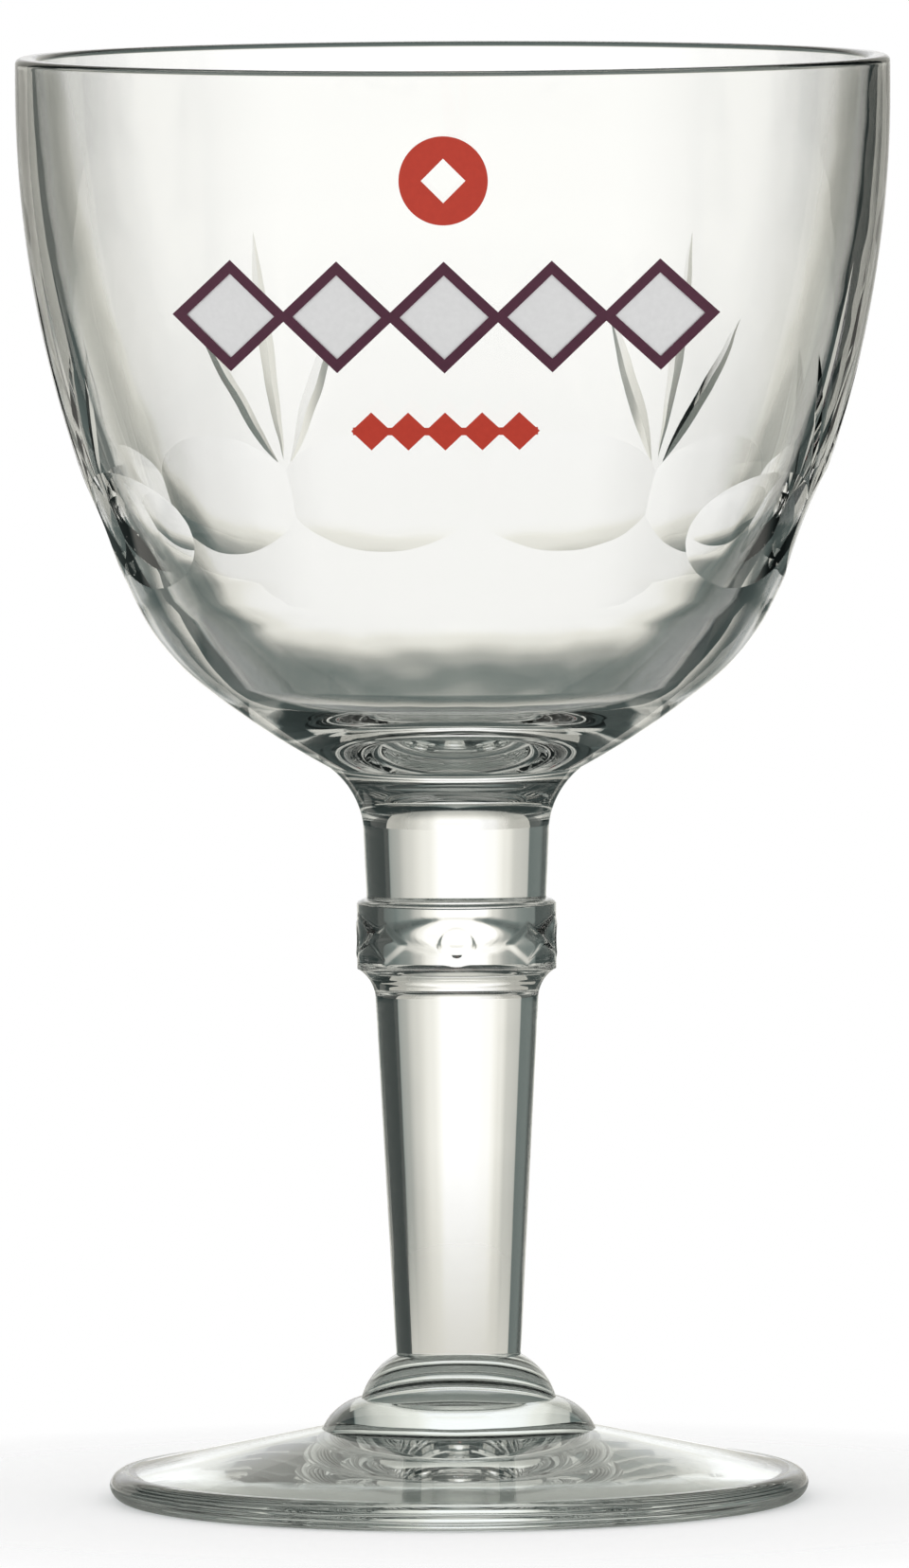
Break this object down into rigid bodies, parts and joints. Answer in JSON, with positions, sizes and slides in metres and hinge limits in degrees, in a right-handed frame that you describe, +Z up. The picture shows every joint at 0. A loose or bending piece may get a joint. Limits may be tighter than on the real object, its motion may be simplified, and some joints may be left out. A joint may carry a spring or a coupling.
{
  "type": "chalice beer glass",
  "caption": "Stemmed beer chalice in clear pressed glass, with a ring of ground ovals, mitre-cut fans, a collared stem, a round foot and a plain enamel print.",
  "frame": {"origin": "centre of the resting face, on the surface that the glass stands on", "axes": "+Z up along the axis of the glass, the print faces -Y, +X to the right of the print"},
  "size_m": [0.1058, 0.1059, 0.175],
  "materials": {
    "bowl_glass": "clear fire-polished soda-lime glass with ground cuts",
    "stem_glass": "clear pressed soda-lime glass",
    "foot_glass": "clear pressed soda-lime glass",
    "silver_enamel": "satin fired enamel, silvery white",
    "plum_enamel": "satin fired enamel, dark plum",
    "red_enamel": "satin fired enamel, warm red"
  },
  "bodies": {
    "root": {"bowl": "bowl_glass", "stem": "stem_glass", "foot": "foot_glass", "silver_print": "silver_enamel", "plum_print": "plum_enamel", "red_badge": "red_enamel", "red_line": "red_enamel"}
  },
  "joints": []
}
